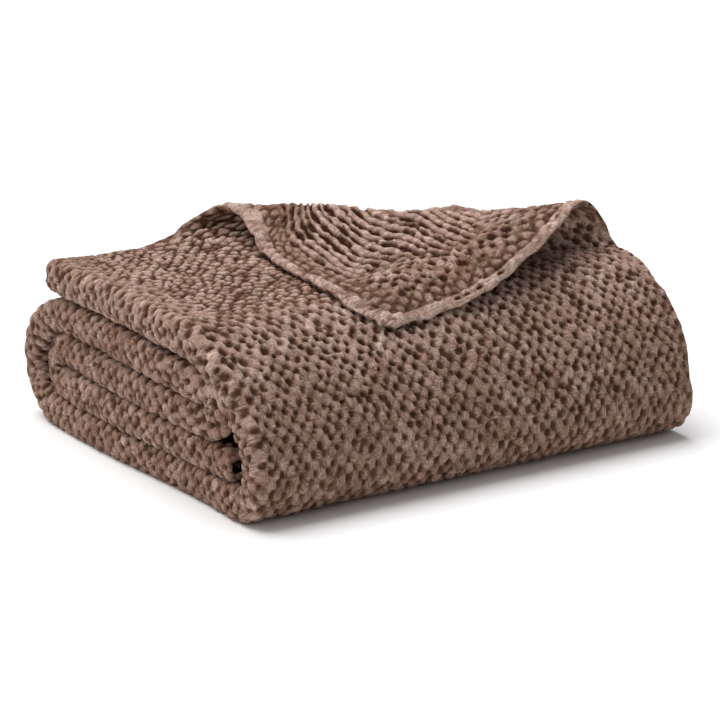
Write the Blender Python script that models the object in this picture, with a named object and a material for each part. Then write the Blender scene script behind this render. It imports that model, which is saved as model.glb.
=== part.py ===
"""A waffle weave cotton blanket, folded into a stack with one corner of its top layer turned back.

The cloth is one sheet. It is folded in four along X into a strip, the strip goes back and forth
along Y in five passes, and the free corner of the topmost layer is rolled back over itself.
Metres, +Z up, the stack stands on z = 0. The near end of the strip is at -X, the round front at -Y.
"""

import math

import bmesh
import bpy
import numpy as np

# The cloth and the strip that it is folded into.
CLOTH = 0.0054  # thickness of the waffle cloth
HEM_WIDTH = 0.013  # turned hem round the cloth's edge
HEM_GAIN = 1.10  # thickness of the hem against the cloth's, added on the reverse face
LAYER_PITCH = 0.0073  # from one layer of the strip to the next
STRIP_WIDTH = 0.460  # the strip along X, four layers thick
NOSE = 0.0095  # how far the closed near end of the strip reaches past its straight layers
FOLD_INSET = 0.004  # how far the far fold of the lower layers stands back from the hems

# The passes of the strip, from the top one down its length. Heights are of the strip's middle.
#          name      start y  end y   start z   mid z    end z   rows
PASSES = (
    ("top", 0.3330, 0.0900, 0.1340, 0.1355, 0.1362, 6),
    ("base", 0.0150, 0.3120, 0.01365, 0.01365, 0.01365, 3),
    ("third", 0.2980, 0.0740, 0.1028, 0.1034, 0.1008, 5),
    ("second", 0.0740, 0.2990, 0.0712, 0.0730, 0.0735, 4),
    ("inner", 0.2990, 0.0170, 0.0425, 0.0430, 0.0425, 4),
)
# The turns between them: how far the strip's middle goes past the pass ends, and to which side.
#          name          reach   side  rows
TURNS = (
    ("front wrap", 0.0520, -1, 10),
    ("back wrap", 0.0530, 1, 8),
    ("front inside", 0.0148, -1, 6),
    ("back inside", 0.0155, 1, 6),
)

# The turned-back corner, in flat sizes of the top layer: x along the strip, v along its length.
PEEL_START_X = -0.108  # where the peel line leaves the back hem
PEEL_END_V = 0.336  # where it would reach the far hem if it ran straight
PEEL_BEND = 0.075  # how far the line bends back towards the corner at the far end
PEEL_BEND_SPAN = 0.190  # length of the line that bends
PEEL_SHIFT = 0.0065  # how far the line stands back from the flap's tip onwards
ROLL_RADIUS = 0.0155  # radius of the roll
ROLL_RADIUS_FAR = 0.0315  # its radius at the far end
ROLL_SAG = 0.0015  # how much smaller it is halfway
ROLL_LEAN = 0.65  # width of the roll against its height
SETTLE_LENGTH = 0.150  # length over which the flap comes down onto the stack

# Towards the back the cloth leaves the stack in a long ramp, curls over and falls steeply. Each
# station along the peel line gives the ramp's length and angle, the height of the crest, the angle
# of the fall, and where the flap lands (sum of the distances from the line, in cloth and in place).
#            along  ramp    angle  crest   fall  landing
CURLS = (
    (0.000, 0.036, 30.0, 0.040, 25.0, 0.036),
    (0.050, 0.048, 30.0, 0.041, 30.0, 0.036),
    (0.100, 0.062, 30.0, 0.041, 34.0, 0.028),
    (0.160, 0.064, 30.0, 0.039, 24.0, 0.018),
    (0.200, 0.058, 30.0, 0.037, 22.0, 0.022),
    (0.240, 0.050, 30.0, 0.036, 18.0, 0.053),
)
LANDING_LENGTH = 0.040  # length over which the fall levels out
CURL_SPAN = (0.21, 0.31)  # where along the line these curls go over into the plain roll
CREST_SLIDE = 0.030  # how far the crest near the back hem is pushed along the line
CREST_SLIDE_AT = 0.088
CREST_SLIDE_SPAN = 0.046

# The finer grid of the corner, and the coarse one of the rest.
CORNER_CELL = 0.0153
CORNER_CELLS = 24
LAYER_COLUMNS = 6
OUTER_NOSE_COLUMNS = 6
SMALL_FOLD_COLUMNS = 4

# Unevenness of the stack: soft humps and hollows, each at a place, of a width and a height.
#        x       y      width   height
HUMPS = (
    (-0.125, 0.330, 0.085, -0.0040),
    (-0.060, 0.180, 0.100, 0.0025),
    (0.215, 0.070, 0.110, -0.0030),
    (0.060, 0.030, 0.090, 0.0020),
    (0.240, 0.340, 0.140, -0.0070),
)
END_WAVES = 0.0030  # how far the ends of the strip wander along X
FAR_TUCK = 0.011  # how far the bottom of the far end is tucked in
TIP_TUCK = 0.009  # how far the back tip of the top pass is tucked in at the near end
STACK_HEIGHT = 0.150

COTTON_COLOUR = (0.30, 0.20, 0.165)

HALF = STRIP_WIDTH / 2
TOP_W = 1.5 * LAYER_PITCH


def pass_points(start_y, end_y, start_z, mid_z, end_z, step=0.002):
    """Points of one pass of the strip's middle, as a shallow parabola through its three heights."""
    count = max(2, round(abs(end_y - start_y) / step))
    t = np.linspace(0, 1, count, endpoint=False)
    bow = mid_z - (start_z + end_z) / 2
    return np.column_stack(
        (start_y + (end_y - start_y) * t, start_z + (end_z - start_z) * t + 4 * bow * t * (1 - t))
    )


def turn_points(a, b, reach, side, step=0.002):
    """Points of one turn from a to b, both (y, z): half an ellipse that leans with its ends."""
    count = max(8, round(1.6 * abs(a[1] - b[1]) / step))
    phi = np.linspace(0, math.pi, count, endpoint=False)
    lean = (1 - np.cos(phi)) / 2
    y = a[0] + (b[0] - a[0]) * lean + side * reach * np.sin(phi)
    return np.column_stack((y, a[1] + (b[1] - a[1]) * lean))


def strip_path():
    """The strip's middle as dense points with arc lengths, and the arc length of each row."""
    pieces, counts = [], []
    for i, (_, y0, y1, z0, zm, z1, rows) in enumerate(PASSES):
        pieces.append(pass_points(y0, y1, z0, zm, z1))
        counts.append(rows)
        if i < len(TURNS):
            following = PASSES[i + 1]
            _, reach, side, rows = TURNS[i]
            pieces.append(turn_points((y1, z1), (following[1], following[3]), reach, side))
            counts.append(rows)
    last = PASSES[-1]
    points = np.vstack(pieces + [np.array([[last[2], last[5]]])])
    steps = np.hypot(*np.diff(points, axis=0).T)
    arc = np.concatenate(([0], np.cumsum(steps)))
    ends = np.cumsum([0] + [len(p) for p in pieces])
    rows = [np.linspace(arc[i], arc[j], n, endpoint=False) for i, j, n in zip(ends, ends[1:], counts)]
    hems = [HEM_WIDTH, arc[-1] - HEM_WIDTH, arc[-1]]
    return points, arc, np.unique(np.concatenate(rows + [hems])), arc[ends[1]]


PATH, ARC, ROWS, TOP_END = strip_path()


def on_path(v):
    """(y, z) and the outward normal of the strip's middle at arc length v, before the stack's warp."""
    e = 0.003
    at = [np.interp(v + d, ARC, PATH[:, 0]) for d in (-e, 0, e)]
    up = [np.interp(v + d, ARC, PATH[:, 1]) for d in (-e, 0, e)]
    dy, dz = at[2] - at[0], up[2] - up[0]
    size = np.hypot(dy, dz) + 1e-12
    # The strip's length runs towards -Y on top, so this normal points up there, and out all round.
    return at[1], up[1], dz / size, -dy / size


def strip_section():
    """The strip across its width, as (x, w) with a label: from the top layer's far hem to the inner hem."""
    near = -HALF + NOSE + CLOTH / 2
    apex = NOSE
    small = LAYER_PITCH / 2
    far = HALF - FOLD_INSET - small - CLOTH / 2
    inner = near + 0.002
    section = [(HALF, TOP_W), (HALF - HEM_WIDTH, TOP_W)]
    corner_x = HALF - CORNER_CELLS * CORNER_CELL
    section += [(x, TOP_W) for x in np.linspace(HALF - 0.10, corner_x, 4)]
    section.append(((corner_x + near) / 2, TOP_W))
    for phi in np.linspace(0, math.pi, OUTER_NOSE_COLUMNS + 1):
        section.append((near - apex * math.sin(phi) ** 0.85, TOP_W * math.cos(phi)))
    section += [(x, -TOP_W) for x in np.linspace(near, far, LAYER_COLUMNS + 1)[1:-1]]
    for phi in np.linspace(0, math.pi, SMALL_FOLD_COLUMNS + 1):
        section.append((far + small * math.sin(phi), -2 * small - small * math.cos(phi)))
    section += [(x, -small) for x in np.linspace(far, inner, LAYER_COLUMNS + 1)[1:-1]]
    for phi in np.linspace(0, math.pi, SMALL_FOLD_COLUMNS + 1):
        section.append((inner - small * math.sin(phi), -small * math.cos(phi)))
    end = HALF - 0.006
    section += [(x, small) for x in np.linspace(inner, end - HEM_WIDTH, LAYER_COLUMNS + 1)[1:]]
    section.append((end, small))
    return np.array(section), corner_x


SECTION, CORNER_X = strip_section()


def warp(p):
    """The stack's unevenness, as a smooth shift of space, so that layers stay apart. z = 0 stays flat."""
    x, y, z = p.T
    rise = np.zeros_like(x)
    for hx, hy, width, height in HUMPS:
        rise += height * np.exp(-((x - hx) ** 2 + (y - hy) ** 2) / width**2)
    near = np.clip(-x / HALF, 0, None) ** 2
    far = np.clip(x / HALF, 0, None) ** 2
    shift = np.sin(19 * y + 24 * z) * near + np.sin(15 * y - 30 * z + 1.0) * far
    depth = np.minimum(z / STACK_HEIGHT, 1.0)
    tuck = FAR_TUCK * far * np.exp(-((z / 0.070) ** 2))
    tip = np.clip((y - 0.240) / 0.100, 0, 1) ** 2 * np.clip((z - 0.105) / 0.030, 0, 1) * near
    return np.column_stack((x + END_WAVES * shift - tuck + TIP_TUCK * tip, y, z + rise * depth**2))


def ease(start, end, s):
    """Goes softly from 0 at start to 1 at end."""
    t = np.clip((s - start) / (end - start), 0, 1)
    return t * t * (3 - 2 * t)


def roll(d, radius):
    """(distance past the peel line, height) of the flap after arc length d of it has peeled off."""
    girth = math.pi * radius * (1 + ROLL_LEAN) / 2
    turn = np.minimum(d / girth, 1) * math.pi
    past, high = ROLL_LEAN * radius * np.sin(turn), radius * (1 - np.cos(turn))
    rest = np.maximum(d - girth, 0)
    t = np.minimum(rest / SETTLE_LENGTH, 1)
    drop = 2 * radius - LAYER_PITCH
    steep = 1.5 * drop / SETTLE_LENGTH
    back = rest - SETTLE_LENGTH * steep**2 * (8 / 15) * (t**3 * (10 - 15 * t + 6 * t * t)) / 2
    return past - back, high - drop * t * t * (3 - 2 * t)


def curl_tables():
    """For each of CURLS: its place, where the cloth lifts off, and arc length, distance and height tables."""
    tables = []
    for along, ramp, angle, crest, fall, landing in CURLS:
        lift, down = math.radians(angle), math.radians(fall)
        radius = (crest - ramp * (1 - math.cos(lift)) / lift) / (1 + math.cos(lift))
        curl = radius * (math.pi + down - lift)
        dropped = radius * (1 - math.cos(down)) + LANDING_LENGTH * (1 - math.cos(down)) / down
        straight = (crest - LAYER_PITCH - dropped) / math.sin(down)
        knots = np.cumsum([0, ramp, curl, straight, LANDING_LENGTH, 0.4])
        arc = np.linspace(0, knots[-1], 1200)
        heading = np.interp(arc, knots, [0, lift, math.pi + down, math.pi + down, math.pi, math.pi])
        middle = (heading[1:] + heading[:-1]) / 2
        step = arc[1]
        past = np.concatenate(([0], np.cumsum(np.cos(middle) * step)))
        high = np.concatenate(([0], np.cumsum(np.sin(middle) * step)))
        lift_off = (landing - knots[4] - np.interp(knots[4], arc, past)) / 2
        tables.append((along, lift_off, arc, past, high))
    return tables


CURL_TABLES = curl_tables()


def curl(d, s):
    """(distance past the peel line, height) by the curls of the back, and whether the cloth has lifted off."""
    places = np.array([table[0] for table in CURL_TABLES])
    start = np.interp(s, places, [table[1] for table in CURL_TABLES])
    length = np.maximum(d - start, 0)
    past, high = np.zeros_like(d), np.zeros_like(d)
    for i, (_, _, arc, table_past, table_high) in enumerate(CURL_TABLES):
        share = np.interp(s, places, np.eye(len(places))[i])
        past += share * np.interp(length, arc, table_past)
        high += share * np.interp(length, arc, table_high)
    return np.where(d > start, start + past, d), high


def cloth(x, w, v):
    """Points of the cloth's middle face for arrays of x and w in the strip and v along it."""
    x, w, v = (np.asarray(a, float) for a in (x, w, v))
    start = np.array([PEEL_START_X, 0.0])
    line = np.array([HALF, PEEL_END_V]) - start
    length = np.hypot(*line)
    along_x, along_v = line / length
    s = (x - start[0]) * along_x + v * along_v
    d = (x - start[0]) * along_v - v * along_x
    top = (w > 0.9 * TOP_W) & (v < TOP_END + 0.2)
    part = np.clip(s / length, 0, 1)
    bend = PEEL_SHIFT + PEEL_BEND * ease(length - PEEL_BEND_SPAN, length, s)
    radius = ROLL_RADIUS + (ROLL_RADIUS_FAR - ROLL_RADIUS) * part**2.6
    past, high = roll(np.maximum(d - bend, 0), radius - ROLL_SAG * np.sin(math.pi * part))
    past = np.where(d > bend, bend + past, d)
    curl_past, curl_high = curl(d, s)
    plain = ease(*CURL_SPAN, s)
    past = past * plain + curl_past * (1 - plain)
    high = np.where(top, high * plain + curl_high * (1 - plain), 0)
    slide = CREST_SLIDE * np.exp(-(((s - CREST_SLIDE_AT) / CREST_SLIDE_SPAN) ** 2)) * ease(0.0, 0.040, high)
    base_x = np.where(top, start[0] + (s + slide) * along_x + past * along_v, x)
    base_v = np.where(top, (s + slide) * along_v - past * along_x, v)
    y, z, ny, nz = on_path(np.maximum(base_v, 0))
    y = y + np.maximum(-base_v, 0)
    lift = w + high
    return warp(np.column_stack((base_x, y + ny * lift, z + nz * lift)))


def half_thickness(x, w, v):
    """Half the cloth's thickness, with the hem's gain along its four edges."""
    top_edge = (w > 0.9 * TOP_W) & (x > HALF - 0.6 * HEM_WIDTH)
    inner_edge = (np.abs(w - LAYER_PITCH / 2) < 1e-6) & (x > HALF - 0.006 - 0.6 * HEM_WIDTH)
    end_edge = (v < 0.6 * HEM_WIDTH) | (v > ARC[-1] - 0.6 * HEM_WIDTH)
    return CLOTH / 2 * np.where(top_edge | inner_edge | end_edge, HEM_GAIN, 1.0)


def section_tangent(u):
    """The direction of the strip's section at fractional column u, as (dx, dw)."""
    columns = np.arange(len(SECTION))
    a = [np.interp(u - 0.3, columns, SECTION[:, k]) for k in (0, 1)]
    b = [np.interp(u + 0.3, columns, SECTION[:, k]) for k in (0, 1)]
    return b[0] - a[0], b[1] - a[1]


def faces_of_cloth(x, w, v, tangent):
    """Both faces of the cloth at the given places: the middle face moved out and in along its normal."""
    dx, dw = tangent
    size = np.hypot(dx, dw) + 1e-12
    e = 0.0008
    dx, dw = e * dx / size, e * dw / size
    across = cloth(x + dx, w + dw, v) - cloth(x - dx, w - dw, v)
    back, ahead = np.maximum(v - e, 0), np.minimum(v + e, ARC[-1])
    along = cloth(x, w, ahead) - cloth(x, w, back)
    normal = np.cross(across, along)
    normal /= np.linalg.norm(normal, axis=1)[:, None] + 1e-15
    middle = cloth(x, w, v)
    half = half_thickness(x, w, v)[:, None]
    return middle + normal * np.minimum(half, CLOTH / 2), middle - normal * half


def zipper(a, b, ta, tb):
    """Triangles between two rows of vertices, a and b, that run side by side at parameters ta and tb."""
    triangles, i, j = [], 0, 0
    while i < len(a) - 1 or j < len(b) - 1:
        if j == len(b) - 1 or (i < len(a) - 1 and ta[i + 1] + ta[i] <= tb[j + 1] + tb[j]):
            triangles.append((a[i], a[i + 1], b[j]))
            i += 1
        else:
            triangles.append((a[i], b[j + 1], b[j]))
            j += 1
    return triangles


def layout():
    """The sheet's vertices as (x, w, v, column) and its triangles, the turned corner finer than the rest."""
    places, index = [], {}

    def vertex(x, w, v, column):
        key = (round(column, 4), round(v, 6))
        if key not in index:
            index[key] = len(places)
            places.append((x, w, v, column))
        return index[key]

    corner_column = int(np.argmin(np.abs(SECTION[:7, 0] - CORNER_X)))
    corner_row = int(np.argmin(np.abs(ROWS - TOP_END)))
    rows = ROWS
    fine_x = np.concatenate(([HALF], np.linspace(HALF - HEM_WIDTH, CORNER_X, CORNER_CELLS)))
    fine_v = np.concatenate(([0], np.linspace(HEM_WIDTH, rows[corner_row], 18)))
    columns = np.interp(-fine_x, -SECTION[: corner_column + 1, 0], np.arange(corner_column + 1))
    fine = [[vertex(x, TOP_W, v, c) for x, c in zip(fine_x, columns)] for v in fine_v]
    triangles = []
    for upper, lower in zip(fine, fine[1:]):
        for k in range(len(upper) - 1):
            a, b, c, d = upper[k], upper[k + 1], lower[k + 1], lower[k]
            triangles += [(a, b, d), (b, c, d)]
    coarse = {}
    for j, v in enumerate(rows):
        for i, (x, w) in enumerate(SECTION):
            if i >= corner_column or j >= corner_row:
                coarse[i, j] = vertex(x, w, v, float(i))
    for j in range(len(rows) - 1):
        for i in range(len(SECTION) - 1):
            if i < corner_column and j <= corner_row:
                continue
            if i == corner_column and j < corner_row:
                continue
            a, b, c, d = coarse[i, j], coarse[i + 1, j], coarse[i + 1, j + 1], coarse[i, j + 1]
            triangles += [(a, b, d), (b, c, d)]
    # The fine corner's lower edge meets the coarse row below it, and its inner edge the next column.
    below = [coarse[i, corner_row + 1] for i in range(corner_column + 1)]
    triangles += zipper(fine[-1], below, columns, np.arange(corner_column + 1.0))
    beside = [coarse[corner_column + 1, j] for j in range(corner_row + 1)]
    edge = [row[-1] for row in fine]
    triangles += [(a, c, b) for a, b, c in zipper(edge, beside, fine_v, rows[: corner_row + 1])]
    return np.array(places), np.array(triangles)


def cloth_material():
    """The mauve-brown cotton of the blanket."""
    material = bpy.data.materials.new("waffle_cotton")
    material.use_nodes = True
    surface = material.node_tree.nodes["Principled BSDF"].inputs
    surface["Base Color"].default_value = (*COTTON_COLOUR, 1.0)
    surface["Roughness"].default_value = 0.95
    surface["Metallic"].default_value = 0.0
    return material


def build_blanket():
    """The blanket as one closed mesh: both faces of the sheet, joined round its edge."""
    places, triangles = layout()
    x, w, v, column = places.T
    front, back = faces_of_cloth(x, w, v, section_tangent(column))
    count = len(places)
    edges = {}
    for triangle in triangles:
        for k in range(3):
            edges[triangle[k], triangle[(k + 1) % 3]] = True
    rim = [(a, b) for a, b in edges if (b, a) not in edges]
    faces = [tuple(t) for t in triangles] + [tuple(t + count)[::-1] for t in triangles]
    for a, b in rim:
        faces += [(b, a, a + count), (b, a + count, b + count)]
    points = np.vstack((front, back))
    middle = (points.min(axis=0) + points.max(axis=0)) / 2
    points -= np.array([middle[0], middle[1], points[:, 2].min()])
    mesh = bpy.data.meshes.new("blanket")
    mesh.from_pydata(points.tolist(), [], faces)
    shape = bmesh.new()
    shape.from_mesh(mesh)
    bmesh.ops.recalc_face_normals(shape, faces=shape.faces)
    shape.to_mesh(mesh)
    shape.free()
    mesh.materials.append(cloth_material())
    mesh.shade_smooth()
    mesh.set_sharp_from_angle(angle=math.radians(50))
    bpy.context.scene.collection.objects.link(bpy.data.objects.new("blanket", mesh))


for old in list(bpy.data.objects):
    bpy.data.objects.remove(old)
build_blanket()
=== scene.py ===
import logging
import math
from dataclasses import dataclass, field
from enum import Enum

import bpy
import numpy as np
from bpy.types import Material, Node, NodeSocket as Socket, Object
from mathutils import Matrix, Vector


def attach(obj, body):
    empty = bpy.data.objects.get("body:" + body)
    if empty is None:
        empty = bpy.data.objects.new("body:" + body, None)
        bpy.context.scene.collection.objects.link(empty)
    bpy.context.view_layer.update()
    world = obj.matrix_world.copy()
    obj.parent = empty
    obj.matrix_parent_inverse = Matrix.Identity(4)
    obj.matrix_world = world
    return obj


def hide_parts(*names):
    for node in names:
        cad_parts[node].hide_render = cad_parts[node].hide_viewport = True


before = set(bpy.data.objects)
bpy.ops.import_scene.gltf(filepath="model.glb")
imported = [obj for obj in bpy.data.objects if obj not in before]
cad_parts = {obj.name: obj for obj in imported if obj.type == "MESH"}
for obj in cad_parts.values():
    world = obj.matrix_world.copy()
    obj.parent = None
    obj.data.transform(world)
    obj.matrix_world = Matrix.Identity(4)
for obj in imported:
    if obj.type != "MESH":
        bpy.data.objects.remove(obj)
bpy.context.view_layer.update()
LOG = logging.getLogger("waffle_blanket")
TRACE_STEP = 0.002
Field = np.ndarray
Span = tuple[float, float]
Triple = tuple[float, float, float]
Pair = tuple[Field, Field]


class Face(Enum):
    """Which face of the cloth a piece shows."""

    RIGHT = 1
    REVERSE = -1


def smooth(t: Field) -> Field:
    """Eases t from 0 to 1."""
    t = np.clip(t, 0.0, 1.0)
    return t * t * (3.0 - 2.0 * t)


def bell(x: Field, width: float) -> Field:
    """A soft peak of height 1 where x is 0."""
    return np.exp(-((x / width) ** 2))


def ramped(x: Field, span: Span) -> Field:
    """Goes straight from 0 to 1 as x goes over the span, which may run downwards."""
    return np.clip((x - span[0]) / (span[1] - span[0]), 0, 1)


def between(ends: Span, share: Field) -> Field:
    """Goes from the first end to the second as share goes from 0 to 1."""
    return ends[0] + (ends[1] - ends[0]) * share


@dataclass(frozen=True)
class Noise:
    """Smooth value noise on the flat cloth, repeatable from its seed."""

    seed: int
    size: float
    cells: int = 256
    start: float = 100.0

    def __call__(self, u: Field, v: Field) -> Field:
        """Values from -1 to 1.

        Args:
            u: Places across the cloth, in metres.
            v: Places along it, in metres.

        Returns:
            The noise at those places.
        """
        table = np.random.default_rng(self.seed).uniform(-1.0, 1.0, (self.cells, self.cells))
        s, t = u / self.size + self.start, v / self.size + self.start
        i, j = np.floor(s).astype(int), np.floor(t).astype(int)
        a, b = smooth(s - i), smooth(t - j)
        i0, j0 = i % self.cells, j % self.cells
        i1, j1 = (i + 1) % self.cells, (j + 1) % self.cells
        low = table[i0, j0] * (1 - a) + table[i1, j0] * a
        high = table[i0, j1] * (1 - a) + table[i1, j1] * a
        return low * (1 - b) + high * b


@dataclass(frozen=True)
class Cloth:
    """The blanket's cloth and its hem, as cut."""

    thickness: float = 0.0054
    hem_width: float = 0.013
    hem_gain: float = 1.10
    edge_radius: float = 0.0036


@dataclass(frozen=True)
class Section:
    """The strip across its width: the cloth folded in four."""

    width: float = 0.460
    pitch: float = 0.0073
    nose: float = 0.0095
    inset: float = 0.004
    inner_inset: float = 0.002
    last_inset: float = 0.006
    fullness: float = 0.38
    layer_points: int = 200
    fold_points: int = 97

    @property
    def top(self) -> float:
        """Height of the top layer over the strip's middle."""
        return 1.5 * self.pitch

    def layer(self, start: float, end: float, height: float) -> Field:
        """Points (x, w) of one straight layer."""
        x = np.linspace(start, end, self.layer_points)
        return np.column_stack((x, np.full_like(x, height)))

    def trace(self, cloth: Cloth) -> tuple[Field, Field, dict[str, float]]:
        """Follows the section from the top layer's far hem to the inner hem.

        Args:
            cloth: The cloth that is folded.

        Returns:
            The flat places, the (x, w) points there, and the flat places of the folds by name.
        """
        half, small, top = self.width / 2, self.pitch / 2, self.top
        near = -half + self.nose + cloth.thickness / 2
        far = half - self.inset - small - cloth.thickness / 2
        inner = near + self.inner_inset
        end = half - self.last_inset
        phi = np.linspace(0.0, math.pi, self.fold_points)
        runs = [
            ("top", self.layer(half, near, top)),
            ("nose", np.column_stack((near - self.nose * np.sin(phi) ** self.fullness, top * np.cos(phi)))),
            ("fourth", self.layer(near, far, -top)),
            ("far fold", np.column_stack((far + small * np.sin(phi), -2 * small - small * np.cos(phi)))),
            ("third", self.layer(far, inner, -small)),
            ("inner fold", np.column_stack((inner - small * np.sin(phi), -small * np.cos(phi)))),
            ("second", self.layer(inner, end, small)),
        ]
        points = np.vstack([run if k == 0 else run[1:] for k, (_, run) in enumerate(runs)])
        flat = np.concatenate(([0.0], np.cumsum(np.hypot(*np.diff(points, axis=0).T))))
        starts, at = {}, 0
        for name, run in runs:
            starts[name] = float(flat[at])
            at += len(run) - 1
        return flat, points, starts


@dataclass(frozen=True)
class Pass:
    """One pass of the strip: its ends along Y, and the heights of its middle."""

    start_y: float
    end_y: float
    start_z: float
    mid_z: float
    end_z: float

    def trace(self) -> Field:
        """Follows the pass, bowed as a shallow parabola.

        Returns:
            Its points (y, z), without the last.
        """
        count = max(2, round(abs(self.end_y - self.start_y) / TRACE_STEP))
        t = np.linspace(0, 1, count, endpoint=False)
        bow = self.mid_z - (self.start_z + self.end_z) / 2
        rise = (self.end_z - self.start_z) * t + 4 * bow * t * (1 - t)
        return np.column_stack((between((self.start_y, self.end_y), t), self.start_z + rise))


@dataclass(frozen=True)
class Turn:
    """One turn between two passes: how far it reaches past them, and to which side along Y."""

    reach: float
    side: int
    girth: float = 1.6
    fewest: int = 8

    def trace(self, before: Pass, after: Pass) -> Field:
        """Follows half an ellipse that leans with its ends.

        Args:
            before: The pass that comes to the turn.
            after: The pass that leaves it.

        Returns:
            Its points (y, z), without the last.
        """
        count = max(self.fewest, round(self.girth * abs(before.end_z - after.start_z) / TRACE_STEP))
        phi = np.linspace(0, math.pi, count, endpoint=False)
        lean = (1 - np.cos(phi)) / 2
        y = between((before.end_y, after.start_y), lean) + self.side * self.reach * np.sin(phi)
        return np.column_stack((y, between((before.end_z, after.start_z), lean)))


@dataclass(frozen=True)
class Curl:
    """How the cloth lifts, curls over and falls at one place along the peel line."""

    along: float
    ramp: float
    angle: float
    crest: float
    fall: float
    landing: float
    flat_length: float = 0.4
    samples: int = 1200

    def trace(self, pitch: float, level_out: float) -> tuple[float, Field, Field, Field]:
        """Follows the cloth from where it leaves the stack.

        Args:
            pitch: Height of the flap where it has landed.
            level_out: Length over which the fall levels out.

        Returns:
            Where the cloth lifts off, and tables of arc length, distance past the line and height.
        """
        lift, down = math.radians(self.angle), math.radians(self.fall)
        radius = (self.crest - self.ramp * (1 - math.cos(lift)) / lift) / (1 + math.cos(lift))
        dropped = radius * (1 - math.cos(down)) + level_out * (1 - math.cos(down)) / down
        straight = (self.crest - pitch - dropped) / math.sin(down)
        lengths = [0, self.ramp, radius * (math.pi + down - lift), straight, level_out, self.flat_length]
        knots = np.cumsum(lengths)
        arc = np.linspace(0, knots[-1], self.samples)
        heading = np.interp(arc, knots, [0, lift, math.pi + down, math.pi + down, math.pi, math.pi])
        middle = (heading[1:] + heading[:-1]) / 2
        past = np.concatenate(([0], np.cumsum(np.cos(middle) * arc[1])))
        high = np.concatenate(([0], np.cumsum(np.sin(middle) * arc[1])))
        landed = knots[4]
        return (self.landing - landed - float(np.interp(landed, arc, past))) / 2, arc, past, high


@dataclass(frozen=True)
class Peel:
    """The corner of the top layer that is rolled back over itself."""

    start_x: float = -0.108
    end_v: float = 0.336
    bend: float = 0.075
    bend_span: float = 0.190
    shift: float = 0.0065
    radius_back: float = 0.0155
    radius_far: float = 0.0315
    radius_growth: float = 2.6
    sag: float = 0.0015
    lean: float = 0.65
    settle: float = 0.150
    curls: tuple[Curl, ...] = (
        Curl(0.000, 0.036, 30.0, 0.038, 25.0, 0.048),
        Curl(0.050, 0.048, 30.0, 0.0365, 30.0, 0.052),
        Curl(0.100, 0.062, 30.0, 0.038, 34.0, 0.042),
        Curl(0.160, 0.064, 30.0, 0.039, 24.0, 0.026),
        Curl(0.200, 0.058, 30.0, 0.037, 22.0, 0.022),
        Curl(0.240, 0.050, 30.0, 0.036, 18.0, 0.053),
    )
    level_out: float = 0.040
    curl_span: Span = (0.21, 0.31)
    slide: float = 0.030
    slide_at: float = 0.088
    slide_span: float = 0.046
    slide_height: float = 0.040

    def roll(self, d: Field, radius: Field, pitch: float) -> Pair:
        """The plain roll towards the far end, which then comes down in an even S.

        Args:
            d: Length of cloth since the peel line.
            radius: Radius of the roll there.
            pitch: Height of the flap where it has landed.

        Returns:
            The distance past the line, and the height.
        """
        girth = math.pi * radius * (1 + self.lean) / 2
        turn = np.minimum(d / girth, 1) * math.pi
        past, high = self.lean * radius * np.sin(turn), radius * (1 - np.cos(turn))
        rest = np.maximum(d - girth, 0)
        t = np.minimum(rest / self.settle, 1)
        drop = 2 * radius - pitch
        # The S is steepest at 1.5 times its mean slope, and its slope squared is 8/15 of that on average.
        steep = 1.5 * drop / self.settle
        back = rest - self.settle * steep**2 * (8 / 15) * (t**3 * (10 - 15 * t + 6 * t * t)) / 2
        return past - back, high - drop * t * t * (3 - 2 * t)

    def curl(self, d: Field, s: Field, pitch: float) -> Pair:
        """The high curl towards the back hem.

        Args:
            d: Length of cloth since the peel line, negative before it.
            s: Place along the line.
            pitch: Height of the flap where it has landed.

        Returns:
            The distance past the line, and the height.
        """
        tables = [curl.trace(pitch, self.level_out) for curl in self.curls]
        places = np.array([curl.along for curl in self.curls])
        start = np.interp(s, places, [table[0] for table in tables])
        length = np.maximum(d - start, 0)
        past, high = np.zeros_like(d), np.zeros_like(d)
        for k, (_, arc, table_past, table_high) in enumerate(tables):
            share = np.interp(s, places, np.eye(len(places))[k])
            past += share * np.interp(length, arc, table_past)
            high += share * np.interp(length, arc, table_high)
        return np.where(d > start, start + past, d), high

    def place(self, d: Field, s: Field, length: float, pitch: float) -> tuple[Field, Field, Field]:
        """Where the cloth of the turned corner goes.

        Args:
            d: Flat distance past the straight peel line.
            s: Place along the line.
            length: Length of the line.
            pitch: Height of the flap where it has landed.

        Returns:
            The distance past the line, the height, and the shift along the line.
        """
        part = np.clip(s / length, 0, 1)
        bend = self.shift + self.bend * smooth((s - length + self.bend_span) / self.bend_span)
        radius = between((self.radius_back, self.radius_far), part**self.radius_growth)
        past, high = self.roll(np.maximum(d - bend, 0), radius - self.sag * np.sin(math.pi * part), pitch)
        past = np.where(d > bend, bend + past, d)
        curl_past, curl_high = self.curl(d, s, pitch)
        plain = smooth((s - self.curl_span[0]) / (self.curl_span[1] - self.curl_span[0]))
        high = high * plain + curl_high * (1 - plain)
        slide = self.slide * bell(s - self.slide_at, self.slide_span) * smooth(high / self.slide_height)
        return past * plain + curl_past * (1 - plain), high, slide


@dataclass(frozen=True)
class Hump:
    """A soft rise or hollow of the stack."""

    x: float
    y: float
    width: float
    height: float


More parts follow.
